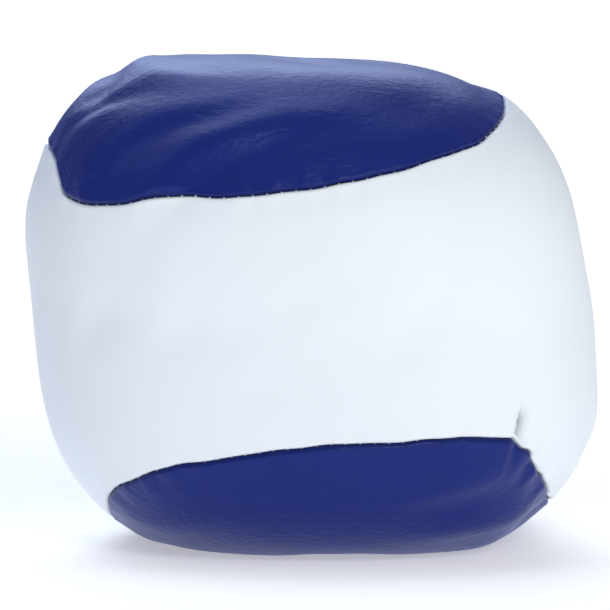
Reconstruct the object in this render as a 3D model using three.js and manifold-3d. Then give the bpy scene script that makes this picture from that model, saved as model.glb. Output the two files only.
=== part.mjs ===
// A soft juggling ball: two dumbbell-shaped leathercloth panels, sewn together along one closed seam as a
// tennis ball's are, turned, filled with plastic pellets and shut by hand.
// Millimetres, +Z up. The ball stands on its settled flat underside, the white panel's waist faces -Y, and
// the origin is the middle of its box, on the surface that it stands on.

import * as THREE from 'three';
import { mergeVertices } from 'three/addons/utils/BufferGeometryUtils.js';
import Module from 'manifold-3d';

const wasm = await Module();
wasm.setup();

// The filled ball.
const halfWidth = 31.7; // along X
const halfDepth = 31.2; // along Y
const halfHeight = 28.4; // from the middle to the crown
const settle = 1.4; // how much of that the flat underside has lost below the middle
const sideSquareness = 3.2; // 2 is an ellipse from the front, more is squarer
const planSquareness = 2.5; // the same from above
const lean = 0.076; // how far the crown leans to -X for each millimetre of height
const crownSlope = 0.035; // how far the crown falls towards +X for each millimetre

// The cover.
const panelThickness = 0.9;
const foldRadius = 1.5; // where a panel turns in at the seam
const allowance = 4; // seam allowance inside, past the fold
const seamGap = 0.3; // between the two allowances
const stationsPerSide = 24; // the seam has four such sides
const ringsPerPanel = 5; // from the edge of a panel to its spine

// The threads.
const threadRadius = 0.2;
const threadClearance = 0.4; // from thread to cloth
const stitchDepth = 2.6; // machine threads below the surface
const ladderPitch = 2.4; // of the hand-sewn stitches
const ladderReach = 0.5; // of each hand-sewn stitch to either side of the seam
const ladderHeight = 0.1; // of the hand-sewn thread over the seam
const knotRadius = 0.6;
const closingStart = 24; // degrees round from the front, where the hand-sewn stretch starts
const closingLength = 34; // of the hand-sewn stretch

// The filling.
const fillClearance = 0.8; // from the settled pellets to the cover
const headSpace = 5; // from the settled pellets to the crown's inside
const pelletRadius = 1.7;
const pelletHeight = 2.6;
const pelletGap = 0.3; // over the settled pellets
const pelletSpread = 2.75; // grows the spiral that the loose pellets lie in
const loosePellets = 24;

// The seam's four sides, each from corner to corner, as degrees round from the front towards +X and degrees
// up. The two front sides run from left to right and the two back ones from bottom to top.
const cornerTopLeft = [-90, 33];
const cornerTopRight = [90, 46];
const cornerBottomLeft = [-90, -46];
const cornerBottomRight = [90, -42];
const seamSides = {
  topFront: [[-64, 29.6], [-54, 22.8], [-42, 21.7], [-28, 24.1], [-11, 25.6], [6, 27.8], [24, 30.6],
    [40, 33.8], [54, 38.4], [70, 43]],
  bottomFront: [[-66, -40], [-50, -31.8], [-33, -26.8], [-15, -24.4], [4, -22.8], [21, -21.4],
    [35.5, -20.7], [43, -22.2], [48.5, -27], [58, -33.6], [73, -39]],
  leftBack: [[-112, -46.5], [-134, -39], [-149, -25], [-155, -5], [-147, 15], [-130, 28], [-110, 33]],
  rightBack: [[112, -41], [134, -33], [150, -17], [156, 4], [148, 25], [132, 39], [112, 45]],
};

const degrees = Math.PI / 180;
const standHeight = halfHeight - settle;
const middle = new THREE.Vector3(0, 0, standHeight);

// A direction from the ball's middle, in degrees round from the front towards +X and degrees up.
function direction([round, up]) {
  const [turn, rise] = [round * degrees, up * degrees];
  return new THREE.Vector3(
    Math.sin(turn) * Math.cos(rise), -Math.cos(turn) * Math.cos(rise), Math.sin(rise));
}

// The filled ball's surface in a direction: a squared ellipsoid that leans, slopes at the crown and is flat
// where it stands.
function surfacePoint(d) {
  const plan = (Math.abs(d.x / halfWidth) ** planSquareness
    + Math.abs(d.y / halfDepth) ** planSquareness) ** (1 / planSquareness);
  const reach = (plan ** sideSquareness
    + Math.abs(d.z / halfHeight) ** sideSquareness) ** (-1 / sideSquareness);
  const p = d.clone().multiplyScalar(reach);
  p.x -= lean * p.z;
  p.z -= crownSlope * p.x * Math.max(p.z / halfHeight, 0) ** 2;
  p.z = Math.max(p.z + standHeight, 0);
  return p;
}

function surfaceNormal(d) {
  const aside = new THREE.Vector3(-d.y, d.x, 0);
  if (aside.length() < 1e-6) aside.set(1, 0, 0);
  aside.normalize();
  const over = new THREE.Vector3().crossVectors(d, aside);
  const step = 0.02;
  const ahead = (way, s) => surfacePoint(d.clone().addScaledVector(way, s).normalize());
  const alongAside = ahead(aside, step).sub(ahead(aside, -step));
  const alongOver = ahead(over, step).sub(ahead(over, -step));
  return alongAside.cross(alongOver).normalize();
}

const stepsPerPoint = 40; // of the seam, where its length is measured

function closedSeam() {
  const reversed = (side) => [...side].reverse();
  const angleList = [
    cornerTopLeft, ...seamSides.topFront,
    cornerTopRight, ...reversed(seamSides.rightBack),
    cornerBottomRight, ...reversed(seamSides.bottomFront),
    cornerBottomLeft, ...seamSides.leftBack,
  ];
  const seam = new THREE.CatmullRomCurve3(angleList.map(direction), true, 'centripetal');
  seam.arcLengthDivisions = angleList.length * stepsPerPoint;
  return seam;
}

// Directions at equal spaces along one side of the seam, which starts and ends at control points.
function sideStations(seam, first, last) {
  const lengths = seam.getLengths();
  const total = lengths[lengths.length - 1];
  const start = lengths[first * stepsPerPoint] / total;
  const end = lengths[last * stepsPerPoint] / total;
  const stations = [];
  for (let i = 0; i <= stationsPerSide; i++) {
    const u = start + (end - start) * (i / stationsPerSide);
    stations.push(seam.getPointAt(u % 1).normalize());
  }
  return stations;
}

function seamStations() {
  const seam = closedSeam();
  const topRight = seamSides.topFront.length + 1;
  const bottomRight = topRight + seamSides.rightBack.length + 1;
  const bottomLeft = bottomRight + seamSides.bottomFront.length + 1;
  return {
    topFront: sideStations(seam, 0, topRight),
    rightBack: sideStations(seam, topRight, bottomRight).reverse(),
    bottomFront: sideStations(seam, bottomRight, bottomLeft).reverse(),
    leftBack: sideStations(seam, bottomLeft, seam.points.length),
  };
}

// The seam once round a panel, against the clock as seen from outside, with the way into the panel and the
// way out of the ball at each station.
function panelEdge(sides) {
  const ring = [
    ...sides.bottom.slice(0, -1),
    ...sides.right.slice(0, -1),
    ...[...sides.top].reverse().slice(0, -1),
    ...[...sides.left].reverse().slice(0, -1),
  ];
  const points = ring.map(surfacePoint);
  return ring.map((d, i) => {
    const before = (i + ring.length - 1) % ring.length;
    const after = (i + 1) % ring.length;
    const outward = surfaceNormal(d);
    const along = points[after].clone().sub(points[before]);
    const inward = outward.clone().cross(along).normalize();
    const turn = d.clone().cross(ring[after].clone().sub(ring[before])).normalize();
    return { d, point: points[i], outward, inward, turn };
  });
}

function besideSeam(station, across, height) {
  return station.point.clone()
    .addScaledVector(station.inward, across)
    .addScaledVector(station.outward, height);
}

// Where a panel's fold meets its outside.
function insetDirection(station) {
  const angle = (seamGap / 2 + foldRadius) / station.point.distanceTo(middle);
  return station.d.clone().addScaledVector(station.turn, angle).normalize();
}

// Directions over a panel, ring by ring from its edge to its spine. The spine runs from lobe to lobe, halfway
// between the panel's two long sides, and each end of it is the middle of a lobe.
function panelRings(edge) {
  const n = stationsPerSide;
  const border = edge.map(insetDirection);
  const halfway = (i) => border[i].clone().add(border[3 * n - i]).normalize();
  const spine = Array.from({ length: n + 1 }, (_, i) => halfway(i));
  const spineIndex = edge.map((_, k) => {
    const [side, step] = [Math.floor(k / n), k % n];
    return [step, n, n - step, 0][side];
  });
  const rings = [];
  for (let r = 0; r < ringsPerPanel; r++) {
    const share = r / ringsPerPanel;
    rings.push(border.map((d, k) => d.clone().lerp(spine[spineIndex[k]], share).normalize()));
  }
  return { rings, spine, spineIndex };
}

// One cover panel: its outside, the fold and the allowance round its edge, and its inside, as one shell.
function panelGeometry(edge) {
  const count = edge.length;
  const positions = [];
  const indices = [];
  const addPoint = (p) => positions.push(p.x, p.y, p.z) / 3 - 1;
  const outer = (d) => addPoint(surfacePoint(d));
  const inner = (d) => addPoint(surfacePoint(d).addScaledVector(surfaceNormal(d), -panelThickness));

  const halfGap = seamGap / 2;
  const halfway = foldRadius * (1 - Math.SQRT1_2);
  const tip = -(foldRadius + allowance);
  const section = [
    [halfGap + halfway, -halfway],
    [halfGap, -foldRadius],
    [halfGap, tip],
    [halfGap + panelThickness, tip],
    [halfGap + panelThickness, -foldRadius],
  ];
  const { rings, spine, spineIndex } = panelRings(edge);
  const outerSpine = spine.map(outer);
  const innerSpine = spine.map(inner);
  const loops = [
    spineIndex.map((i) => outerSpine[i]),
    ...rings.map((ring) => ring.map(outer)).reverse(),
    ...section.map(([across, height]) => edge.map((station) => addPoint(
      besideSeam(station, across, height)))),
    ...rings.map((ring) => ring.map(inner)),
    spineIndex.map((i) => innerSpine[i]),
  ];

  // Each quad is split from the lower station's outer corner, so that the two panels' edges split alike.
  const addTriangle = (a, b, c) => {
    if (a !== b && b !== c && c !== a) indices.push(a, b, c);
  };
  for (let r = 0; r + 1 < loops.length; r++) {
    for (let k = 0; k < count; k++) {
      const next = (k + 1) % count;
      const corners = [loops[r][k], loops[r + 1][k], loops[r + 1][next], loops[r][next]];
      const risesAhead = edge[k].point.z < edge[next].point.z;
      const [a, b, c, d] = risesAhead ? corners : [...corners.slice(1), corners[0]];
      addTriangle(a, b, c);
      addTriangle(a, c, d);
    }
  }

  const geometry = new THREE.BufferGeometry();
  geometry.setAttribute('position', new THREE.Float32BufferAttribute(positions, 3));
  geometry.setIndex(indices);
  geometry.computeVertexNormals();
  return geometry;
}

function roundSection(radius, sides) {
  const corners = [];
  for (let i = 0; i < sides; i++) {
    const turn = (i / sides) * 2 * Math.PI;
    corners.push(new THREE.Vector2(radius * Math.cos(turn), radius * Math.sin(turn)));
  }
  return new THREE.Shape(corners);
}

function threadGeometry(points, steps) {
  const path = new THREE.CatmullRomCurve3(points, false, 'centripetal');
  return new THREE.ExtrudeGeometry(roundSection(threadRadius, 6), { steps, extrudePath: path });
}

// The stations of the hand-sewn stretch, on the lower front side, where the white panel's edge begins.
function handSewnStations(edge) {
  const startTurn = Math.tan(closingStart * degrees);
  const first = edge.findIndex(({ d }) => d.x > -d.y * startTurn);
  let last = first;
  let length = 0;
  while (length < closingLength) {
    length += edge[last].point.distanceTo(edge[last + 1].point);
    last += 1;
  }
  return edge.slice(first, last + 1);
}

// A machine thread along a panel's allowance, all the way round but for the stretch that is sewn by hand.
function machineThread(edge, handSewn) {
  const byHand = new Set(handSewn.map((station) => station.d));
  const isSewnByHand = (station) => byHand.has(station.d);
  const across = seamGap / 2 + panelThickness + threadClearance + threadRadius;
  const first = edge.findIndex((station, k) => isSewnByHand(station)
    && !isSewnByHand(edge[(k + 1) % edge.length]));
  const points = [];
  for (let k = 1; k < edge.length; k++) {
    const station = edge[(first + k) % edge.length];
    if (isSewnByHand(station)) break;
    points.push(besideSeam(station, across, -stitchDepth));
  }
  return threadGeometry(points, points.length - 1);
}

// The hand-sewn ladder stitch, from side to side over the seam, with its knot at the last stitch.
function closingGeometry(spread) {
  const stitches = Math.round(closingLength / ladderPitch);
  const points = [];
  for (let i = 0; i <= 2 * stitches; i++) {
    const along = (i / (2 * stitches)) * (spread.length - 1);
    const near = Math.min(Math.floor(along), spread.length - 2);
    const share = along - near;
    const reach = ladderReach * Math.sin((i * Math.PI) / 2);
    const from = besideSeam(spread[near], reach, ladderHeight);
    const to = besideSeam(spread[near + 1], reach, ladderHeight);
    points.push(from.lerp(to, share));
  }
  const end = spread[spread.length - 1];
  const knot = new THREE.IcosahedronGeometry(knotRadius, 1);
  const middleOfKnot = besideSeam(end, 0, ladderHeight + knotRadius - threadRadius);
  knot.translate(middleOfKnot.x, middleOfKnot.y, middleOfKnot.z);
  return fromSolid(toSolid(threadGeometry(points, 4 * stitches)).add(toSolid(knot)));
}

function toSolid(source) {
  const bare = source.clone();
  bare.deleteAttribute('normal');
  bare.deleteAttribute('uv');
  const merged = mergeVertices(bare, 1e-4);
  return new wasm.Manifold(new wasm.Mesh({
    numProp: 3,
    vertProperties: new Float32Array(merged.attributes.position.array),
    triVerts: new Uint32Array(merged.index.array),
  }));
}

function fromSolid(solid) {
  const mesh = solid.getMesh();
  const geometry = new THREE.BufferGeometry();
  geometry.setAttribute('position', new THREE.BufferAttribute(mesh.vertProperties, 3));
  geometry.setIndex(new THREE.BufferAttribute(mesh.triVerts, 1));
  geometry.computeVertexNormals();
  return geometry;
}

// A sphere geometry's directions, moved to the ball's surface less an inset.
function insetBody(inset) {
  const geometry = new THREE.SphereGeometry(1, 36, 20);
  const place = geometry.attributes.position;
  for (let i = 0; i < place.count; i++) {
    const d = new THREE.Vector3(place.getX(i), -place.getZ(i), place.getY(i)).normalize();
    const p = surfacePoint(d).addScaledVector(surfaceNormal(d), -inset);
    place.setXYZ(i, p.x, p.y, p.z);
  }
  return geometry;
}

// The room that the allowances and the threads take in the filling, all along the seam.
function seamChannel(edge) {
  const side = seamGap / 2 + panelThickness + 2 * threadClearance + 2 * threadRadius;
  const bottom = -(foldRadius + allowance + fillClearance);
  const section = [[-side, foldRadius], [-side, bottom], [side, bottom], [side, foldRadius]];
  const positions = [];
  const indices = [];
  for (const station of edge) {
    for (const [across, height] of section) positions.push(...besideSeam(station, across, height));
  }
  for (let k = 0; k < edge.length; k++) {
    const here = k * section.length;
    const next = ((k + 1) % edge.length) * section.length;
    for (let c = 0; c < section.length; c++) {
      const d = (c + 1) % section.length;
      indices.push(here + c, here + d, next + d, here + c, next + d, next + c);
    }
  }
  const geometry = new THREE.BufferGeometry();
  geometry.setAttribute('position', new THREE.Float32BufferAttribute(positions, 3));
  geometry.setIndex(indices);
  return geometry;
}

const crownInside = standHeight + halfHeight - panelThickness;
const fillLevel = crownInside - headSpace;

function pelletBedGeometry(edge) {
  const body = toSolid(insetBody(panelThickness + fillClearance));
  const room = 4 * halfWidth;
  const headRoom = new THREE.BoxGeometry(room, room, room);
  headRoom.translate(0, 0, fillLevel + room / 2);
  return fromSolid(body.subtract(toSolid(headRoom)).subtract(toSolid(seamChannel(edge))));
}

function pelletGeometry() {
  const r = pelletRadius;
  const h = pelletHeight / 2;
  const profile = [[0, -h], [0.7 * r, -h], [r, -0.5 * h], [r, 0.5 * h], [0.7 * r, h], [0, h]];
  const lathe = new THREE.LatheGeometry(profile.map(([x, y]) => new THREE.Vector2(x, y)), 8);
  lathe.rotateX(Math.PI / 2);
  return lathe;
}

function coverMaterial(color, roughness) {
  return new THREE.MeshStandardMaterial({ color, roughness, metalness: 0 });
}

const whiteCloth = coverMaterial(0xeef3f8, 0.55);
const blueCloth = coverMaterial(0x20296a, 0.38);
const whiteThread = coverMaterial(0xf2f2ee, 0.7);
const blueThread = coverMaterial(0x252d66, 0.7);
const pelletPlastic = coverMaterial(0xd9d4c4, 0.5);

const ball = new THREE.Group();

function addPiece(name, geometry, material) {
  const mesh = new THREE.Mesh(geometry, material.clone());
  mesh.name = name;
  ball.add(mesh);
  return mesh;
}

const sides = seamStations();
const whiteSides = {
  bottom: sides.bottomFront, top: sides.topFront, left: sides.leftBack, right: sides.rightBack,
};
const blueSides = {
  bottom: sides.leftBack, top: sides.rightBack, left: sides.bottomFront, right: sides.topFront,
};
const whiteEdge = panelEdge(whiteSides);
const blueEdge = panelEdge(blueSides);
const handSewn = handSewnStations(whiteEdge);

addPiece('white_panel', panelGeometry(whiteEdge), whiteCloth);
addPiece('blue_panel', panelGeometry(blueEdge), blueCloth);
addPiece('needle_thread', machineThread(whiteEdge, handSewn), whiteThread);
addPiece('bobbin_thread', machineThread(blueEdge, handSewn), blueThread);
addPiece('closing_thread', closingGeometry(handSewn), whiteThread);
addPiece('pellet_bed', pelletBedGeometry(whiteEdge), pelletPlastic);

// The loose pellets lie in a sunflower spiral, each turned its own way.
const goldenAngle = Math.PI * (3 - Math.sqrt(5));
for (let i = 0; i < loosePellets; i++) {
  const name = `pellet_${String(i + 1).padStart(2, '0')}`;
  const pellet = addPiece(name, pelletGeometry(), pelletPlastic);
  const out = pelletSpread * Math.sqrt(i + 0.5);
  pellet.position.set(
    out * Math.cos(i * goldenAngle) - lean * halfHeight,
    out * Math.sin(i * goldenAngle),
    fillLevel + pelletGap + pelletHeight / 2,
  );
  pellet.rotation.z = i;
}

// The box's middle comes to X = 0, Y = 0.
const box = new THREE.Box3().setFromObject(ball);
ball.position.set(-(box.min.x + box.max.x) / 2, -(box.min.y + box.max.y) / 2, 0);

export default ball;
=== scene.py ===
"""A soft juggling ball of two leathercloth panels, filled with pellets, on a pale studio floor.

The ball's lengths are in millimetres until a mesh is made of them. The studio's are in metres.
"""

import math

import bpy
import numpy as np
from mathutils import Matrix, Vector
from mathutils.kdtree import KDTree


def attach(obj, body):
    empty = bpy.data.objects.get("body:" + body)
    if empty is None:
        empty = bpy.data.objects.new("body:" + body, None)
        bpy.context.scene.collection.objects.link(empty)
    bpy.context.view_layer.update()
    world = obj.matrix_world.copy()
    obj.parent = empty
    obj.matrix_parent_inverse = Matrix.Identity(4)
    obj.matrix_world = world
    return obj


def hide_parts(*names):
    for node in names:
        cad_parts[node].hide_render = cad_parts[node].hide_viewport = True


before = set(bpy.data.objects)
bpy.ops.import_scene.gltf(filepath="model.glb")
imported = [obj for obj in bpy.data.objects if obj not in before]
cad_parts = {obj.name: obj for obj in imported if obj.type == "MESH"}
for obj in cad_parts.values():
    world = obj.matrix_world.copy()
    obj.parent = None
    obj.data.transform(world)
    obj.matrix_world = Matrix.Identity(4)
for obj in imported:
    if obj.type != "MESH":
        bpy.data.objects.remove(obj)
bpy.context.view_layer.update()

MM = 0.001

# The filled ball, as in the part's source.
HALF_WIDTH = 31.7
HALF_DEPTH = 31.2
HALF_HEIGHT = 28.4
SETTLE = 1.4
SIDE_SQUARENESS = 3.2
PLAN_SQUARENESS = 2.5
LEAN = 0.076
CROWN_SLOPE = 0.035
STAND_HEIGHT = HALF_HEIGHT - SETTLE
FLOOR_TURN = 0.5  # how softly the side turns up from the floor
FREE_HEIGHT = 30  # where settling leaves the cover at its own height

# The cover. It closes up more and turns in more tightly than the rigid solid does.
WALL = 0.6
SEAM_GAP = 0.12
FOLD_RADIUS = 0.5
FOLD_STEPS = 6
ALLOWANCE_DEPTH = 5.5  # how deep the seam allowance reaches below the surface
ALLOWANCE_STEPS = 3
STATIONS_PER_SIDE = 216
RINGS = 40  # from a panel's border in to its spine
RING_CROWDING = 1.25  # above 1, the rings stand closer together near the border

# The threads.
THREAD_RADIUS = 0.11
STITCH_PITCH = 1.6
STITCH_SPAN = 1.5  # from one side of the seam to the other
STITCH_ARCH = 0.35  # how far a stitch's ends dip below its middle
STITCH_SINK = 0.6  # how far below the surface its middle lies
LADDER_PITCH = 2.4
LADDER_REACH = 0.4
LADDER_SINK = 0.85
KNOT_RADIUS = 0.42
KNOT_SHAPE = [1.15, 0.9, 1]
KNOT_SINK = 0.75

# The seam's four sides, each from corner to corner, as degrees round from the front towards +X and degrees
# up. The two front sides run from left to right and the two back ones from bottom to top.
CORNER_TOP_LEFT = (-90, 33)
CORNER_TOP_RIGHT = (90, 46)
CORNER_BOTTOM_LEFT = (-90, -46)
CORNER_BOTTOM_RIGHT = (90, -42)
TOP_FRONT = [(-64, 29.6), (-54, 22.8), (-42, 21.7), (-28, 24.1), (-11, 25.6), (6, 27.8), (24, 30.6),
             (40, 33.8), (54, 38.4), (70, 43)]
BOTTOM_FRONT = [(-66, -40), (-50, -31.8), (-33, -26.8), (-15, -24.4), (4, -22.8), (21, -21.4),
                (35.5, -20.7), (43, -22.2), (48.5, -27), (58, -33.6), (73, -39)]
LEFT_BACK = [(-112, -46.5), (-134, -39), (-149, -25), (-155, -5), (-147, 15), (-130, 28), (-110, 33)]
RIGHT_BACK = [(112, -41), (134, -33), (150, -17), (156, 4), (148, 25), (132, 39), (112, 45)]

# The hand-sewn stretch of the lower front seam.
CLOSING_START = 24  # degrees round from the front
CLOSING_LENGTH = 34
CLOSING_FADE = 2
GATHER_ROUND = 41.5  # degrees round from the front, where the hand sewing draws the cloth together
GATHER_BEFORE = 9  # how far the gathers reach along the seam on one side of there, and on the other
GATHER_AFTER = 1.6

# How the seam strays sideways: by how much, how many times round the ball, and from what phase. Then its
# gathers: by how much, at what pitch, and from what phase.
STRAYS = [(0.07, 23, 1), (0.05, 37, 4), (0.04, 71, 0)]
GATHER_STRAYS = [(0.22, 4.3, 0), (0.1, 2.6, 1)]

# The cloth beside the seam: how high it stands or dips and how far from the seam that reaches. Puckers and
# gathers have pitches along the seam too, and slant with the distance from it.
STITCH_LIFT = 0.05
STITCH_LIFT_REACH = 0.9
PUCKER_LIFT = 0.1
PUCKER_REACH = 2.4
PUCKER_PITCH = 3.9
PUCKER_SLANT = 0.25
PUCKER_GROWTH = (29, 17)  # the pitches at which the puckers grow and fade
GATHER_LIFT = 0.2
GATHER_REACH = 2.8
GATHER_PITCHES = (3.4, 2.1)
GATHER_SLANT = 0.35
SHOULDER_DIP = 0.06
SHOULDER_REACH = 1.8

# Where the real filling stands a little over or under the even shape: degrees round, degrees up, how far
# it reaches in degrees, and how far it stands out.
SWELLS = [
    (90, 80, 14, -0.75),
    (90, 60, 10, -0.6),
    (90, 45, 6, 0.6),
    (90, 17, 13, -0.6),
    (90, -2, 14, 0.55),
    (90, -22, 9, 0.75),
    (90, -40, 9, -0.9),
    (66, -40, 6, -1.2),
    (50, -48, 6, 0.3),
    (-90, 15, 10, 0.4),
    (-90, 36, 7, -0.7),
    (-64, 44, 4, -0.5),
    (-80, 57, 8, 0.4),
    (-90, -55, 12, 1.1),
    (-20, 55, 24, 0.2),
    (30, -5, 30, 0.2),
]

# Soft folds in the cover: the line each follows, its width and its height. A height below zero is a valley.
FOLDS = [
    ([(-50, 26), (-45, 32.5), (-41, 36), (-35, 39), (-26, 42), (-14, 45)], 2.0, 0.5),
    ([(-64, 33), (-59, 39), (-54, 42), (-46, 44.5), (-38, 46)], 1.7, -0.55),
    ([(-58, 40), (-62, 46), (-72, 50), (-96, 52), (-130, 52)], 2.1, -0.45),
    ([(-130, 62), (-96, 60), (-67, 56), (-48, 52), (-33, 51), (-18, 52)], 2.0, 0.5),
    ([(-44, 26), (-35, 34), (-27, 38.5), (-19, 41), (-8, 44.5)], 1.7, -0.5),
    ([(-33, 22), (-28, 29.5), (-22, 34.5), (-14, 38), (-4, 42), (9, 43.5)], 2.1, 0.6),
    ([(-30, 20), (-21, 27), (-14, 31.5), (-3, 36), (12, 40)], 2.0, -0.35),
    ([(-33, 24.8), (-27, 26.3), (-18, 27.2)], 0.6, 0.14),
    ([(10, 36), (34, 44), (58, 52)], 3.0, -0.3),
    ([(14, -34), (27, -30), (35.5, -27.5), (42, -25)], 1.8, 0.5),
    ([(20, -43), (35, -40.5), (45, -39), (54, -36)], 1.8, 0.45),
    ([(18, -36), (36, -33), (48, -33)], 1.8, -0.35),
    ([(44, -14.5), (42.5, -18), (41.5, -21.5)], 0.5, -1.1),
    ([(-60, -36), (-44, -40), (-28, -38)], 2.2, 0.3),
]
LINE_STEPS = 40
LINE_END = 0.12  # where a fold's half wave begins and ends, so that its ends keep a little height
LINE_FADE = 0.7

# Painted shade along the crease in the white cloth above the corner of the hand sewing: the colour darkens
# along this line.
CREASE_SHADE_LINE = [(43.1, -16), (42.4, -18.2), (41.7, -21.3)]
CREASE_SHADE_WIDTH = 0.4


# ---- The ball's shape -------------------------------------------------------------------------------------

NORMAL_STEP = 0.02
UNLEAN_ROUNDS = 6


def directions(angles):
    """Unit directions from the ball's middle, from rows of degrees round and degrees up."""
    turn, rise = np.radians(np.asarray(angles, float)).T
    return np.stack([np.sin(turn) * np.cos(rise), -np.cos(turn) * np.cos(rise), np.sin(rise)], 1)


def unit(rows):
    return rows / np.linalg.norm(rows, axis=1, keepdims=True)


def swell(d):
    total = np.zeros(len(d))
    for round_angle, up, reach, height in SWELLS:
        away = np.degrees(np.arccos(np.clip(d @ directions([(round_angle, up)])[0], -1, 1)))
        total += height * np.exp(-(away / reach) ** 2)
    return total


def surface(d, swelled=True):
    """The ball before it settles: a squared ellipsoid that leans and slopes at the crown."""
    plan = (np.abs(d[:, 0] / HALF_WIDTH) ** PLAN_SQUARENESS
            + np.abs(d[:, 1] / HALF_DEPTH) ** PLAN_SQUARENESS) ** (1 / PLAN_SQUARENESS)
    reach = plan ** SIDE_SQUARENESS + np.abs(d[:, 2] / HALF_HEIGHT) ** SIDE_SQUARENESS
    reach = reach ** (-1 / SIDE_SQUARENESS)
    if swelled:
        reach = reach + swell(d)
    p = d * reach[:, None]
    p[:, 0] -= LEAN * p[:, 2]
    p[:, 2] -= CROWN_SLOPE * p[:, 0] * np.maximum(p[:, 2] / HALF_HEIGHT, 0) ** 2
    p[:, 2] += STAND_HEIGHT
    return p


def directions_of(points):
    """The directions that surface() takes to points on the ball."""
    p = points - [0, 0, STAND_HEIGHT]
    z = p[:, 2].copy()
    for _ in range(UNLEAN_ROUNDS):
        z = p[:, 2] + CROWN_SLOPE * p[:, 0] * np.maximum(z / HALF_HEIGHT, 0) ** 2
    return unit(np.stack([p[:, 0] + LEAN * z, p[:, 1], z], 1))


def surface_normals(d):
    aside = np.stack([-d[:, 1], d[:, 0], np.zeros(len(d))], 1)
    aside[np.linalg.norm(aside, axis=1) < 1e-6] = (1, 0, 0)
    aside = unit(aside)
    over = np.cross(d, aside)
    along_aside = surface(unit(d + aside * NORMAL_STEP)) - surface(unit(d - aside * NORMAL_STEP))
    along_over = surface(unit(d + over * NORMAL_STEP)) - surface(unit(d - over * NORMAL_STEP))
    return unit(np.cross(along_aside, along_over))


def settled(p):
    """The underside lies flat where it stands, with a soft turn up from the floor."""
    z = p[:, 2]
    lift = 0.5 * (np.sqrt(FLOOR_TURN ** 2 + FREE_HEIGHT ** 2) - FREE_HEIGHT)
    p[:, 2] = 0.5 * (z + np.sqrt(z * z + FLOOR_TURN ** 2)) - lift
    p[:, 2] = np.maximum(p[:, 2], 0)
    return p


# ---- The seam ---------------------------------------------------------------------------------------------

SPAN_STEPS = 60  # between one of the seam's points and the next
AHEAD = 0.3
MARK_PITCH = 0.2


def closed_curve(points, steps):
    """A closed centripetal Catmull-Rom curve through the points, with that many steps to each span."""
    spans = []
    count = len(points)
    for i in range(count):
        a, b, c, d = (points[(i + k - 1) % count] for k in range(4))
        ab, bc, cd = (math.sqrt(np.linalg.norm(q - p)) for p, q in ((a, b), (b, c), (c, d)))
        leave = ((b - a) / ab - (c - a) / (ab + bc) + (c - b) / bc) * bc
        arrive = ((c - b) / bc - (d - b) / (bc + cd) + (d - c) / cd) * bc
        t = (np.arange(steps) / steps)[:, None]
        spans.append(b + leave * t + (3 * (c - b) - 2 * leave - arrive) * t ** 2
                     + (2 * (b - c) + leave + arrive) * t ** 3)
    return unit(np.concatenate(spans))


seam_angles = [CORNER_TOP_LEFT, *TOP_FRONT, CORNER_TOP_RIGHT, *RIGHT_BACK[::-1], CORNER_BOTTOM_RIGHT,
               *BOTTOM_FRONT[::-1], CORNER_BOTTOM_LEFT, *LEFT_BACK]
seam_fine = closed_curve(list(directions(seam_angles)), SPAN_STEPS)
seam_points = surface(seam_fine)
seam_steps = np.linalg.norm(np.roll(seam_points, -1, 0) - seam_points, axis=1)
seam_along = np.concatenate([[0], np.cumsum(seam_steps)])
SEAM_LENGTH = seam_along[-1]


def seam_directions(along):
    """Directions at distances along the seam, measured from the top left corner."""
    ends = np.vstack([seam_fine, seam_fine[:1]])
    return unit(np.stack([np.interp(along % SEAM_LENGTH, seam_along, ends[:, k]) for k in range(3)], 1))


def side_stations(first, last):
    start, end = seam_along[first * SPAN_STEPS], seam_along[last * SPAN_STEPS]
    return np.linspace(start, end, STATIONS_PER_SIDE + 1)


top_right = len(TOP_FRONT) + 1
bottom_right = top_right + len(RIGHT_BACK) + 1
bottom_left = bottom_right + len(BOTTOM_FRONT) + 1
side_top = side_stations(0, top_right)
side_right = side_stations(top_right, bottom_right)[::-1]
side_bottom = side_stations(bottom_right, bottom_left)[::-1]
side_left = side_stations(bottom_left, len(seam_angles))

lower_front = slice(bottom_right * SPAN_STEPS, bottom_left * SPAN_STEPS)


def along_lower_front(round_angle):
    """Where along the seam its lower front side passes those degrees round from the front."""
    turns = seam_fine[lower_front]
    past = turns[:, 0] > -turns[:, 1] * math.tan(math.radians(round_angle))
    return seam_along[lower_front][past][-1]


CLOSING_END_ALONG = along_lower_front(CLOSING_START)
CLOSING_START_ALONG = CLOSING_END_ALONG - CLOSING_LENGTH
GATHER_ALONG = along_lower_front(GATHER_ROUND)


def hand_sewn(along):
    """1 in the hand-sewn stretch, falling to 0 just past its ends."""
    into = np.minimum(along - CLOSING_START_ALONG, CLOSING_END_ALONG - along)
    return np.clip(into / CLOSING_FADE + 1, 0, 1)


def gathered(along):
    """1 at the corner where the hand sewing draws the cloth together, falling to 0 on both sides."""
    past = along - GATHER_ALONG
    return np.exp(-(past / np.where(past > 0, GATHER_AFTER, GATHER_BEFORE)) ** 2)


def wave(along, pitch, phase=0):
    return np.sin(2 * math.pi * along / pitch + phase)


def wander(along):
    """How far the seam strays to the side of its even line, with small gathers where it's sewn by hand."""
    turn = 2 * math.pi * along / SEAM_LENGTH
    stray = sum(by * np.sin(times * turn + phase) for by, times, phase in STRAYS)
    gather = sum(by * wave(along, pitch, phase) for by, pitch, phase in GATHER_STRAYS)
    return stray + gather * gathered(along)


def seam_frames(along):
    """The point, the way out, the way along and the way across the seam at distances along it."""
    d = seam_directions(along)
    ahead = surface(seam_directions(along + AHEAD)) - surface(seam_directions(along - AHEAD))
    normal = surface_normals(d)
    tangent = unit(ahead)
    across = unit(np.cross(normal, tangent))
    point = surface(d) + across * wander(along)[:, None]
    return point, normal, tangent, across


def point_tree(points):
    tree = KDTree(len(points))
    for i, p in enumerate(points):
        tree.insert(p, i)
    tree.balance()
    return tree


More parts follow.
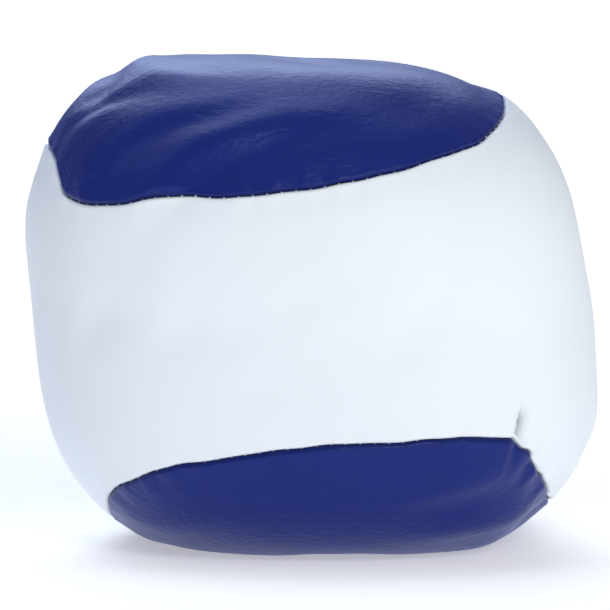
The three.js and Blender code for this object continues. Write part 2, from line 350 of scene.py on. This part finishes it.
seam_marks = np.arange(0, SEAM_LENGTH, MARK_PITCH)
mark_point, _, mark_tangent, _ = seam_frames(seam_marks)
seam_tree = point_tree(mark_point)


def beside_seam(points):
    """How far along the seam and how far from it each point is."""
    found = [seam_tree.find(p) for p in points]
    index = np.array([f[1] for f in found])
    away = np.array([f[2] for f in found])
    offset = points - mark_point[index]
    return seam_marks[index] + np.sum(offset * mark_tangent[index], 1), away


# ---- Soft shape of the cover ------------------------------------------------------------------------------

def near_line(points, line, width):
    """1 on the line, falling smoothly to 0 beside it and towards both its ends."""
    corners = directions(line)
    t = np.linspace(0, len(corners) - 1, LINE_STEPS)
    turns = np.stack([np.interp(t, range(len(corners)), corners[:, k]) for k in range(3)], 1)
    route = surface(unit(turns))
    fade = np.sin(np.linspace(LINE_END, math.pi - LINE_END, LINE_STEPS)) ** LINE_FADE
    gap = np.linalg.norm(points[:, None, :] - route[None, :, :], axis=2)
    nearest = gap.argmin(1)
    return fade[nearest] * np.exp(-(gap[np.arange(len(points)), nearest] / width) ** 2)


def fold_height(points):
    return sum(height * near_line(points, line, width) for line, width, height in FOLDS)


def pucker_height(along, away):
    """Between stitches the cloth stands a little higher, and it gathers more where it's sewn by hand."""
    stitch = np.cos(2 * math.pi * along / STITCH_PITCH)
    lift = STITCH_LIFT * stitch * np.exp(-(away / STITCH_LIFT_REACH) ** 2)
    slow, quick = PUCKER_GROWTH
    strength = 0.5 + 0.5 * wave(along, slow, 2) * wave(along, quick)
    pucker = wave(along, PUCKER_PITCH, PUCKER_SLANT * away)
    lift += PUCKER_LIFT * strength * pucker * np.exp(-(away / PUCKER_REACH) ** 2)
    wide, narrow = GATHER_PITCHES
    gather = wave(along, wide, GATHER_SLANT * away) + 0.6 * wave(along, narrow, 2)
    return lift + GATHER_LIFT * gathered(along) * gather * np.exp(-(away / GATHER_REACH) ** 2)


def shoulder(away):
    """The cover dips towards the seam before it turns in."""
    return -SHOULDER_DIP * np.exp(-(away / SHOULDER_REACH) ** 2)


# ---- Cloth ------------------------------------------------------------------------------------------------

CLOTH_START = -0.25  # the stuffed cover starts this much smaller and swells
CLOTH_CAP = 1.0  # the furthest that the filling may push a point
CLOTH_STEPS = 20
HELD_BY_SEAM = 0.7  # cloth this near to the seam is held
HELD_BY_FLOOR = 0.05
SMOOTH_REACH = 1.8
SMOOTH_NEIGHBOURS = 24


def mesh_object(name, points, faces):
    mesh = bpy.data.meshes.new(name)
    mesh.from_pydata((points * MM).tolist(), [], faces)
    mesh.update()
    obj = bpy.data.objects.new(name, mesh)
    bpy.context.scene.collection.objects.link(obj)
    return obj


def mesh_points(obj):
    co = np.zeros(len(obj.data.vertices) * 3)
    obj.data.vertices.foreach_get("co", co)
    return co.reshape(-1, 3) / MM


def set_points(obj, points):
    obj.data.vertices.foreach_set("co", (points * MM).ravel())
    obj.data.update()


def select_only(obj):
    bpy.ops.object.select_all(action="DESELECT")
    bpy.context.view_layer.objects.active = obj
    obj.select_set(True)


def stuffed_cover():
    """Directions all round, and how far the filling swells the cover out in each of them."""
    bpy.ops.object.select_all(action="DESELECT")
    bpy.ops.mesh.primitive_ico_sphere_add(subdivisions=6, radius=1)
    cover = bpy.context.object
    d = unit(mesh_points(cover) * MM)
    normals = surface_normals(d)
    points = settled(surface(d) + normals * CLOTH_START)
    set_points(cover, points)
    away = beside_seam(points)[1]
    held = cover.vertex_groups.new(name="held")
    for index in np.nonzero((away < HELD_BY_SEAM) | (points[:, 2] < HELD_BY_FLOOR))[0]:
        held.add([int(index)], 1.0, "REPLACE")
    select_only(cover)
    bpy.ops.object.modifier_add(type="CLOTH")
    cloth = cover.modifiers[-1]
    cloth.settings.quality = 6
    cloth.settings.mass = 0.2
    cloth.settings.tension_stiffness = 20
    cloth.settings.compression_stiffness = 12
    cloth.settings.shear_stiffness = 8
    cloth.settings.bending_stiffness = 2
    cloth.settings.use_pressure = True
    cloth.settings.uniform_pressure_force = 4
    cloth.settings.shrink_min = -0.01
    cloth.settings.vertex_group_mass = "held"
    cloth.settings.effector_weights.gravity = 0
    cloth.collision_settings.use_self_collision = False
    cloth.collision_settings.use_collision = False
    cloth.point_cache.frame_end = CLOTH_STEPS
    for step in range(1, CLOTH_STEPS + 1):
        bpy.context.scene.frame_set(step)
    bpy.ops.object.modifier_apply(modifier=cloth.name)
    bpy.context.scene.frame_set(1)
    moved = mesh_points(cover) - points
    length = np.linalg.norm(moved, axis=1, keepdims=True)
    moved *= np.minimum(1, CLOTH_CAP / np.maximum(length, 1e-9))
    bpy.data.objects.remove(cover)
    return d, np.sum(moved * normals, 1) + CLOTH_START


def smooth_sample(d_known, height, d_wanted):
    """Heights known at some directions, read smoothly at others."""
    wanted = surface(d_wanted)
    tree = point_tree(surface(d_known))
    result = np.zeros(len(wanted))
    for i, p in enumerate(wanted):
        found = tree.find_n(p, SMOOTH_NEIGHBOURS)
        weight = [math.exp(-(f[2] / SMOOTH_REACH) ** 2) for f in found]
        result[i] = sum(w * height[f[1]] for w, f in zip(weight, found)) / sum(weight)
    return result


# ---- The panels -------------------------------------------------------------------------------------------

CLOTH_FREE_FROM = 0.4  # how far from the seam the filling begins to swell the cover
CLOTH_FREE_OVER = 2.5  # and how much farther it takes to do so fully


def panel_ring(bottom, right, top, left):
    """Distances along the seam, once round a panel against the clock as seen from outside."""
    return np.concatenate([bottom[:-1], right[:-1], top[::-1][:-1], left[::-1][:-1]])


def panel_skin(border, spine_index, cloth):
    """A panel's outer face in its soft shape: its spine, then rings of points out to its border."""
    n = STATIONS_PER_SIDE
    count = len(border)
    spine = unit(border[:n + 1] + border[[(3 * n - i) % count for i in range(n + 1)]])
    shares = (np.arange(RINGS) / RINGS) ** RING_CROWDING
    rings = [unit(border * (1 - s) + spine[spine_index] * s) for s in shares]
    skin = np.concatenate([spine, *rings[::-1]])
    points = surface(skin)
    normals = surface_normals(skin)
    along, away = beside_seam(points)
    # Painted shade along the crease line: 1 on it, falling to 0 beside it.
    crease_shade = near_line(points, CREASE_SHADE_LINE, CREASE_SHADE_WIDTH)
    lift = fold_height(points) + pucker_height(along, away) + shoulder(away)
    if cloth is not None:
        free = np.clip((away - CLOTH_FREE_FROM) / CLOTH_FREE_OVER, 0, 1)
        lift += smooth_sample(*cloth, skin) * free
    return settled(points + normals * lift[:, None]), away, crease_shade


def turned_edge(ring, point, normal, inward):
    """Loops of points that turn in at the seam and go down along the seam allowance."""
    half_gap = SEAM_GAP / 2
    away = np.full(len(ring), half_gap + FOLD_RADIUS)
    lift = (fold_height(point) + pucker_height(ring, away) + shoulder(away))[:, None]
    loops = []
    for turn in np.linspace(0, math.pi / 2, FOLD_STEPS + 1)[1:]:
        reach = half_gap + FOLD_RADIUS * (1 - math.sin(turn))
        drop = FOLD_RADIUS * (1 - math.cos(turn))
        loops.append(point + inward * reach + normal * (lift * (1 - turn / 3) - drop))
    for depth in np.linspace(FOLD_RADIUS, ALLOWANCE_DEPTH, ALLOWANCE_STEPS + 1)[1:]:
        loops.append(point + inward * half_gap - normal * depth)
    return [settled(loop) for loop in loops]


def strips(grid):
    """Faces between each row of point numbers and the next, three-sided where the spine ends."""
    faces = []
    for inner, outer in zip(grid, grid[1:]):
        for k in range(len(inner)):
            m = (k + 1) % len(inner)
            corners = [int(inner[k]), int(outer[k]), int(outer[m]), int(inner[m])]
            if corners[0] == corners[3]:
                corners = corners[:3]
            faces.append(corners)
    return faces


def build_panel(name, ring, cloth):
    n = STATIONS_PER_SIDE
    count = len(ring)
    point, normal = seam_frames(ring)[:2]
    forward = np.roll(point, -1, 0) - np.roll(point, 1, 0)
    inward = unit(np.cross(normal, forward))
    border = directions_of(point + inward * (SEAM_GAP / 2 + FOLD_RADIUS))
    side, step = np.divmod(np.arange(count), n)
    spine_index = np.choose(side, [step, np.full(count, n), n - step, np.zeros(count, int)])
    skin, away, crease_shade = panel_skin(border, spine_index, cloth)
    loops = turned_edge(ring, point, normal, inward)
    starts = [n + 1 + r * count for r in range(RINGS + len(loops))]
    grid = [spine_index] + [np.arange(count) + s for s in starts]
    panel = mesh_object(name, np.concatenate([skin, *loops]), strips(grid))
    at_edge = np.zeros(len(loops) * count)
    for label, values in (("seam_away", away), ("crease_shade", crease_shade)):
        attribute = panel.data.attributes.new(label, "FLOAT", "POINT")
        attribute.data.foreach_set("value", np.concatenate([values, at_edge]).astype(np.float32))

    select_only(panel)
    bpy.ops.object.modifier_add(type="SOLIDIFY")
    wall = panel.modifiers[-1]
    wall.thickness = WALL * MM
    wall.offset = -1
    bpy.ops.object.modifier_apply(modifier=wall.name)
    bpy.ops.object.shade_smooth()
    return panel


# ---- Threads ----------------------------------------------------------------------------------------------

def joined(name, parts):
    bpy.ops.object.select_all(action="DESELECT")
    for part in parts:
        part.select_set(True)
    bpy.context.view_layer.objects.active = parts[0]
    bpy.ops.object.join()
    piece = bpy.context.object
    piece.name = name
    piece.data.name = name
    return piece


def machine_stitches():
    """One short arch of thread across the seam at each stitch, modelled once and copied along it."""
    bpy.ops.object.select_all(action="DESELECT")
    bpy.ops.mesh.primitive_cylinder_add(vertices=6, radius=THREAD_RADIUS * MM,
                                        depth=STITCH_SPAN * MM, end_fill_type="TRIFAN")
    first = bpy.context.object
    bpy.ops.object.mode_set(mode="EDIT")
    bpy.ops.mesh.select_all(action="SELECT")
    bpy.ops.mesh.subdivide(number_cuts=1)
    bpy.ops.object.mode_set(mode="OBJECT")
    pattern = mesh_points(first)
    pattern[:, 0] -= STITCH_ARCH * (pattern[:, 2] / (STITCH_SPAN / 2)) ** 2
    bpy.ops.object.shade_smooth()
    stitches = []
    places = np.arange(STITCH_PITCH / 2, SEAM_LENGTH, STITCH_PITCH)
    places = places[hand_sewn(places) == 0]
    point, normal, tangent, across = seam_frames(places)
    for k in range(len(places)):
        stitch = first.copy()
        stitch.data = first.data.copy()
        bpy.context.scene.collection.objects.link(stitch)
        centre = point[k] - normal[k] * STITCH_SINK
        turned = pattern[:, :1] * normal[k] + pattern[:, 1:2] * tangent[k] + pattern[:, 2:] * across[k]
        set_points(stitch, centre + turned)
        stitches.append(stitch)
    bpy.data.objects.remove(first)
    return joined("machine_stitches", stitches)


def ladder_stitch():
    """The hand-sewn thread, zigzagging down in the valley of the seam to its knot."""
    places = np.arange(CLOSING_START_ALONG, CLOSING_END_ALONG, LADDER_PITCH / 2)
    point, normal, _, across = seam_frames(places)
    curve = bpy.data.curves.new("closing_thread_line", "CURVE")
    curve.dimensions = "3D"
    curve.bevel_depth = THREAD_RADIUS * MM
    curve.bevel_resolution = 1
    curve.resolution_u = 3
    spline = curve.splines.new("NURBS")
    spline.points.add(len(places) - 1)
    for k in range(len(places)):
        reach = LADDER_REACH if k % 2 else -LADDER_REACH
        p = (point[k] + across[k] * reach - normal[k] * LADDER_SINK) * MM
        spline.points[k].co = (*p, 1)
    spline.use_endpoint_u = True
    line = bpy.data.objects.new("closing_line", curve)
    bpy.context.scene.collection.objects.link(line)
    select_only(line)
    bpy.ops.object.convert(target="MESH")
    line = bpy.context.object
    bpy.ops.object.select_all(action="DESELECT")
    bpy.ops.mesh.primitive_ico_sphere_add(subdivisions=2, radius=KNOT_RADIUS * MM)
    knot = bpy.context.object
    set_points(knot, mesh_points(knot) * KNOT_SHAPE + point[0] - normal[0] * KNOT_SINK)
    return joined("closing_stitch", [line, knot])


# ---- Materials --------------------------------------------------------------------------------------------

def grain_group():
    """Leathercloth grain: fine pebbles and slanting creases as a height, and a cloudy mask."""
    group = bpy.data.node_groups.new("leathercloth grain", "ShaderNodeTree")
    for name, value in (("Pebble size", 1800.0), ("Crease size", 420.0), ("Crease share", 0.6)):
        socket = group.interface.new_socket(name, in_out="INPUT", socket_type="NodeSocketFloat")
        socket.default_value = value
    group.interface.new_socket("Height", in_out="OUTPUT", socket_type="NodeSocketFloat")
    group.interface.new_socket("Cloud", in_out="OUTPUT", socket_type="NodeSocketFloat")
    nodes, links = group.nodes, group.links
    given = nodes.new("NodeGroupInput")
    result = nodes.new("NodeGroupOutput")
    coords = nodes.new("ShaderNodeTexCoord")

    pebble = nodes.new("ShaderNodeTexVoronoi")
    pebble.feature = "SMOOTH_F1"
    links.new(coords.outputs["Object"], pebble.inputs["Vector"])
    links.new(given.outputs["Pebble size"], pebble.inputs["Scale"])

    slant = nodes.new("ShaderNodeMapping")
    slant.inputs["Rotation"].default_value = (0.3, math.radians(35), 0.2)
    slant.inputs["Scale"].default_value = (0.6, 1, 1.4)
    links.new(coords.outputs["Object"], slant.inputs["Vector"])
    crease = nodes.new("ShaderNodeTexNoise")
    crease.inputs["Detail"].default_value = 4
    crease.inputs["Distortion"].default_value = 0.6
    links.new(slant.outputs["Vector"], crease.inputs["Vector"])
    links.new(given.outputs["Crease size"], crease.inputs["Scale"])

    cloud = nodes.new("ShaderNodeTexNoise")
    cloud.inputs["Scale"].default_value = 90
    cloud.inputs["Detail"].default_value = 3
    links.new(coords.outputs["Object"], cloud.inputs["Vector"])

    mix = nodes.new("ShaderNodeMix")
    links.new(given.outputs["Crease share"], mix.inputs["Factor"])
    links.new(pebble.outputs["Distance"], mix.inputs["A"])
    links.new(crease.outputs["Fac"], mix.inputs["B"])
    links.new(mix.outputs["Result"], result.inputs["Height"])
    links.new(cloud.outputs["Fac"], result.inputs["Cloud"])
    return group


def seam_shade_mask_group():
    """1 where the cloth turns in at the seam and 0 less than a millimetre from there: where painted shade
    darkens the seam's valley.
    """
    group = bpy.data.node_groups.new("painted seam shade", "ShaderNodeTree")
    reach = group.interface.new_socket("Reach", in_out="INPUT", socket_type="NodeSocketFloat")
    reach.default_value = 0.45
    group.interface.new_socket("Mask", in_out="OUTPUT", socket_type="NodeSocketFloat")
    nodes, links = group.nodes, group.links
    given = nodes.new("NodeGroupInput")
    result = nodes.new("NodeGroupOutput")
    away = nodes.new("ShaderNodeAttribute")
    away.attribute_name = "seam_away"
    ramp = nodes.new("ShaderNodeMapRange")
    ramp.interpolation_type = "SMOOTHSTEP"
    ramp.inputs["To Min"].default_value = 1
    ramp.inputs["To Max"].default_value = 0
    links.new(away.outputs["Fac"], ramp.inputs["Value"])
    links.new(given.outputs["Reach"], ramp.inputs["From Max"])
    links.new(ramp.outputs["Result"], result.inputs["Mask"])
    return group


def new_material(name):
    material = bpy.data.materials.new(name)
    material.use_nodes = True
    return material, material.node_tree.nodes, material.node_tree.links


def leathercloth(name, base, worn, seam_shade, crease_shade_colour, rough, bump, pattern):
    """Coated cloth, a little cloudy, with painted shade in the seam's valley and along a crease."""
    material, nodes, links = new_material(name)
    shader = nodes["Principled BSDF"]
    coat = nodes.new("ShaderNodeGroup")
    coat.node_tree = grain
    for label, value in pattern.items():
        coat.inputs[label].default_value = value
    seam_shading = nodes.new("ShaderNodeGroup")
    seam_shading.node_tree = seam_shade_mask
    tone = nodes.new("ShaderNodeMix")
    tone.data_type = "RGBA"
    tone.inputs["A"].default_value = (*base, 1)
    tone.inputs["B"].default_value = (*worn, 1)
    links.new(coat.outputs["Cloud"], tone.inputs["Factor"])
    # Painted shade: the colour turns to the seam-shade colour where the cloth turns in at the seam.
    shade = nodes.new("ShaderNodeMix")
    shade.data_type = "RGBA"
    shade.inputs["B"].default_value = (*seam_shade, 1)
    links.new(tone.outputs["Result"], shade.inputs["A"])
    links.new(seam_shading.outputs["Mask"], shade.inputs["Factor"])
    # Painted shade: the colour turns to the crease-shade colour along the crease above the corner of the
    # hand sewing.
    crease_shade = nodes.new("ShaderNodeAttribute")
    crease_shade.attribute_name = "crease_shade"
    crease_shaded = nodes.new("ShaderNodeMix")
    crease_shaded.data_type = "RGBA"
    crease_shaded.inputs["B"].default_value = (*crease_shade_colour, 1)
    links.new(shade.outputs["Result"], crease_shaded.inputs["A"])
    links.new(crease_shade.outputs["Fac"], crease_shaded.inputs["Factor"])
    links.new(crease_shaded.outputs["Result"], shader.inputs["Base Color"])
    gloss = nodes.new("ShaderNodeMapRange")
    gloss.inputs["To Min"].default_value = rough[0]
    gloss.inputs["To Max"].default_value = rough[1]
    links.new(coat.outputs["Cloud"], gloss.inputs["Value"])
    links.new(gloss.outputs["Result"], shader.inputs["Roughness"])
    relief = nodes.new("ShaderNodeBump")
    relief.inputs["Strength"].default_value = bump[0]
    relief.inputs["Distance"].default_value = bump[1] * MM
    links.new(coat.outputs["Height"], relief.inputs["Height"])
    links.new(relief.outputs["Normal"], shader.inputs["Normal"])
    return material, shader


def thread_material(name, colour):
    material, nodes, links = new_material(name)
    shader = nodes["Principled BSDF"]
    shader.inputs["Roughness"].default_value = 0.7
    coords = nodes.new("ShaderNodeTexCoord")
    twist = nodes.new("ShaderNodeTexNoise")
    twist.inputs["Scale"].default_value = 4000
    links.new(coords.outputs["Object"], twist.inputs["Vector"])
    tone = nodes.new("ShaderNodeMix")
    tone.data_type = "RGBA"
    tone.inputs["A"].default_value = (*(0.8 * c for c in colour), 1)
    tone.inputs["B"].default_value = (*colour, 1)
    links.new(twist.outputs["Fac"], tone.inputs["Factor"])
    links.new(tone.outputs["Result"], shader.inputs["Base Color"])
    relief = nodes.new("ShaderNodeBump")
    relief.inputs["Strength"].default_value = 0.6
    relief.inputs["Distance"].default_value = 0.05 * MM
    links.new(twist.outputs["Fac"], relief.inputs["Height"])
    links.new(relief.outputs["Normal"], shader.inputs["Normal"])
    return material


def pellet_material():
    material, nodes, links = new_material("pellet plastic")
    shader = nodes["Principled BSDF"]
    shader.inputs["Subsurface Weight"].default_value = 0.1
    shader.inputs["Roughness"].default_value = 0.45
    coords = nodes.new("ShaderNodeTexCoord")
    cells = nodes.new("ShaderNodeTexVoronoi")
    cells.inputs["Scale"].default_value = 260
    links.new(coords.outputs["Object"], cells.inputs["Vector"])
    tone = nodes.new("ShaderNodeMix")
    tone.data_type = "RGBA"
    tone.inputs["A"].default_value = (0.62, 0.58, 0.47, 1)
    tone.inputs["B"].default_value = (0.76, 0.73, 0.63, 1)
    links.new(cells.outputs["Color"], tone.inputs["Factor"])
    links.new(tone.outputs["Result"], shader.inputs["Base Color"])
    relief = nodes.new("ShaderNodeBump")
    relief.invert = True
    relief.inputs["Distance"].default_value = 0.8 * MM
    links.new(cells.outputs["Distance"], relief.inputs["Height"])
    links.new(relief.outputs["Normal"], shader.inputs["Normal"])
    return material


def give(obj, material):
    obj.data.materials.clear()
    obj.data.materials.append(material)


# ---- The ball ---------------------------------------------------------------------------------------------

MIDDLE_SAMPLES = 60000

cloth = stuffed_cover()
white_panel = build_panel("white_cover", panel_ring(side_bottom, side_right, side_top, side_left), cloth)
blue_panel = build_panel("blue_cover", panel_ring(side_left, side_top, side_right, side_bottom), cloth)
stitches = machine_stitches()
closing = ladder_stitch()

# The formula's middle comes to the frame's, as the part's source does it.
samples = np.random.default_rng(1).normal(size=(MIDDLE_SAMPLES, 3))
spread = surface(unit(samples), swelled=False)
slide = -(spread.min(0) + spread.max(0)) / 2
for piece in (white_panel, blue_panel, stitches, closing):
    set_points(piece, mesh_points(piece) + [slide[0], slide[1], 0])

grain = grain_group()
seam_shade_mask = seam_shade_mask_group()
# The seam colours are painted shade in the seam's valley: the blue's is darker than its base, the white's
# equals its base.
white_cloth = leathercloth(
    "white leathercloth", base=(0.87, 0.91, 0.935), worn=(0.85, 0.89, 0.92), seam_shade=(0.87, 0.91, 0.935),
    # The crease colour below is painted shade in the crease above the corner of the hand sewing.
    crease_shade_colour=(0.2, 0.24, 0.26), rough=(0.5, 0.6), bump=(0.25, 0.05),
    pattern={"Pebble size": 1500, "Crease size": 600, "Crease share": 0.5})[0]
blue_cloth, blue_shader = leathercloth(
    "blue leathercloth", base=(0.0075, 0.017, 0.152), worn=(0.0105, 0.022, 0.175),
    # The crease colour below is painted shade in the crease above the corner of the hand sewing.
    seam_shade=(0.0065, 0.0145, 0.13), crease_shade_colour=(0.01, 0.02, 0.15), rough=(0.3, 0.4), bump=(0.9, 0.13),
    pattern={"Pebble size": 1700, "Crease size": 1100, "Crease share": 0.75})
blue_shader.inputs["Specular IOR Level"].default_value = 0.35
blue_shader.inputs["Specular Tint"].default_value = (0.45, 0.55, 1, 1)
blue_shader.inputs["Sheen Weight"].default_value = 0.2
blue_shader.inputs["Sheen Roughness"].default_value = 0.35
blue_shader.inputs["Sheen Tint"].default_value = (0.25, 0.38, 1, 1)
white_thread = thread_material("white thread", (0.88, 0.88, 0.85))
blue_thread = thread_material("blue thread", (0.02, 0.03, 0.15))
pellets = pellet_material()

give(white_panel, white_cloth)
give(blue_panel, blue_cloth)
give(stitches, white_thread)
give(closing, white_thread)
for node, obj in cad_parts.items():
    if node.startswith("pellet"):
        give(obj, pellets)
give(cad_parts["bobbin_thread"], blue_thread)

for piece, node, slot in ((white_panel, "white_panel", "white_leathercloth"),
                          (blue_panel, "blue_panel", "blue_leathercloth"),
                          (stitches, "needle_thread", "white_thread"),
                          (closing, "closing_thread", "white_thread")):
    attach(piece, "root")
    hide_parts(node)


# ---- Studio -----------------------------------------------------------------------------------------------

FLOOR_SIZE = 6
FLOOR_GLOW_NEAR = 0.42
FLOOR_GLOW_FAR = 0.8
FLOOR_GLOW_FROM = 0.05  # metres from the ball's middle
FLOOR_GLOW_TO = 0.4

ROOM_FRONT = 0.1
ROOM_ABOVE = 0.3
ROOM_ABOVE_FROM = 0.35  # how steeply up a direction has to be before the ceiling starts, from 0 to 1
ROOM_BEHIND = 2.8
WALL_TOWARD = (-0.08, 0.89, 0.45)
WALL_EDGE = 0.94  # how nearly a direction has to be the wall's before the wall starts, and is whole
WALL_WHOLE = 0.985
WALL_COLOUR = (0.58, 0.7, 1.0)  # and that of the lights overhead

CAMERA_DISTANCE = 0.6
CAMERA_ELEVATION = math.radians(5)
CAMERA_SHIFT = -0.0098
FRAME_WIDTH = 0.07
SENSOR_WIDTH = 36


def studio_floor():
    """A pale floor that glows more, the farther it is from the ball."""
    bpy.ops.object.select_all(action="DESELECT")
    bpy.ops.mesh.primitive_plane_add(size=FLOOR_SIZE, location=(0, 0, 0))
    floor = bpy.context.object
    floor.name = "studio_floor"
    material, nodes, links = new_material("studio floor")
    shader = nodes["Principled BSDF"]
    shader.inputs["Base Color"].default_value = (0.93, 0.93, 0.93, 1)
    shader.inputs["Roughness"].default_value = 0.9
    shader.inputs["Specular IOR Level"].default_value = 0.1
    shader.inputs["Emission Strength"].default_value = 1
    coords = nodes.new("ShaderNodeTexCoord")
    distance = nodes.new("ShaderNodeVectorMath")
    distance.operation = "LENGTH"
    links.new(coords.outputs["Object"], distance.inputs[0])
    glow = nodes.new("ShaderNodeMapRange")
    glow.inputs["From Min"].default_value = FLOOR_GLOW_FROM
    glow.inputs["From Max"].default_value = FLOOR_GLOW_TO
    glow.inputs["To Min"].default_value = FLOOR_GLOW_NEAR
    glow.inputs["To Max"].default_value = FLOOR_GLOW_FAR
    links.new(distance.outputs["Value"], glow.inputs["Value"])
    links.new(glow.outputs["Result"], shader.inputs["Emission Color"])
    give(floor, material)


def studio_world():
    """A bright patch of wall high behind the ball, a pale ceiling and a dim room elsewhere."""
    world = bpy.data.worlds.new("studio")
    bpy.context.scene.world = world
    world.use_nodes = True
    nodes, links = world.node_tree.nodes, world.node_tree.links
    coords = nodes.new("ShaderNodeTexCoord")
    split = nodes.new("ShaderNodeSeparateXYZ")
    links.new(coords.outputs["Generated"], split.inputs["Vector"])
    toward = nodes.new("ShaderNodeVectorMath")
    toward.operation = "DOT_PRODUCT"
    toward.inputs[1].default_value = WALL_TOWARD
    links.new(coords.outputs["Generated"], toward.inputs[0])
    wall = nodes.new("ShaderNodeMapRange")
    wall.inputs["From Min"].default_value = WALL_EDGE
    wall.inputs["From Max"].default_value = WALL_WHOLE
    wall.inputs["To Min"].default_value = 0
    wall.inputs["To Max"].default_value = ROOM_BEHIND
    links.new(toward.outputs["Value"], wall.inputs["Value"])
    above = nodes.new("ShaderNodeMapRange")
    above.inputs["From Min"].default_value = ROOM_ABOVE_FROM
    above.inputs["From Max"].default_value = 1.0
    above.inputs["To Min"].default_value = ROOM_FRONT
    above.inputs["To Max"].default_value = ROOM_ABOVE
    links.new(split.outputs["Z"], above.inputs["Value"])
    brighter = nodes.new("ShaderNodeMath")
    brighter.operation = "MAXIMUM"
    links.new(wall.outputs["Result"], brighter.inputs[0])
    links.new(above.outputs["Result"], brighter.inputs[1])
    links.new(brighter.outputs["Value"], nodes["Background"].inputs["Strength"])
    tint = nodes.new("ShaderNodeMix")
    tint.data_type = "RGBA"
    tint.inputs["A"].default_value = (1, 1, 1, 1)
    tint.inputs["B"].default_value = (*WALL_COLOUR, 1)
    links.new(wall.outputs["Result"], tint.inputs["Factor"])
    links.new(tint.outputs["Result"], nodes["Background"].inputs["Color"])


def soft_light(name, place, size, power, colour=(1, 1, 1)):
    light = bpy.data.lights.new(name, "AREA")
    light.shape = "SQUARE"
    light.size = size
    light.energy = power
    light.color = colour
    obj = bpy.data.objects.new(name, light)
    bpy.context.scene.collection.objects.link(obj)
    obj.location = place
    toward = Vector((0, 0, STAND_HEIGHT * MM)) - Vector(place)
    obj.rotation_euler = toward.to_track_quat("-Z", "Y").to_euler()


def studio_camera():
    """Level with the ball, a little above its middle."""
    data = bpy.data.cameras.new("camera")
    data.sensor_width = SENSOR_WIDTH
    data.lens = SENSOR_WIDTH * CAMERA_DISTANCE / FRAME_WIDTH
    data.shift_x = CAMERA_SHIFT
    camera = bpy.data.objects.new("camera", data)
    bpy.context.scene.collection.objects.link(camera)
    back = Vector((0, -math.cos(CAMERA_ELEVATION), math.sin(CAMERA_ELEVATION)))
    camera.location = Vector((0, 0, STAND_HEIGHT * MM)) + back * CAMERA_DISTANCE
    camera.rotation_euler = (-back).to_track_quat("-Z", "Y").to_euler()
    bpy.context.scene.camera = camera


studio_floor()
studio_world()
soft_light("above", (-0.1, 0.18, 0.62), 0.45, 1.5, WALL_COLOUR)
soft_light("above left", (-0.38, -0.12, 0.42), 0.3, 0.3, WALL_COLOUR)
soft_light("front", (0.26, -0.65, 0.3), 0.25, 2.0)
soft_light("right", (0.7, -0.05, 0.12), 0.3, 0.55)
studio_camera()
bpy.context.scene.view_settings.view_transform = "Standard"
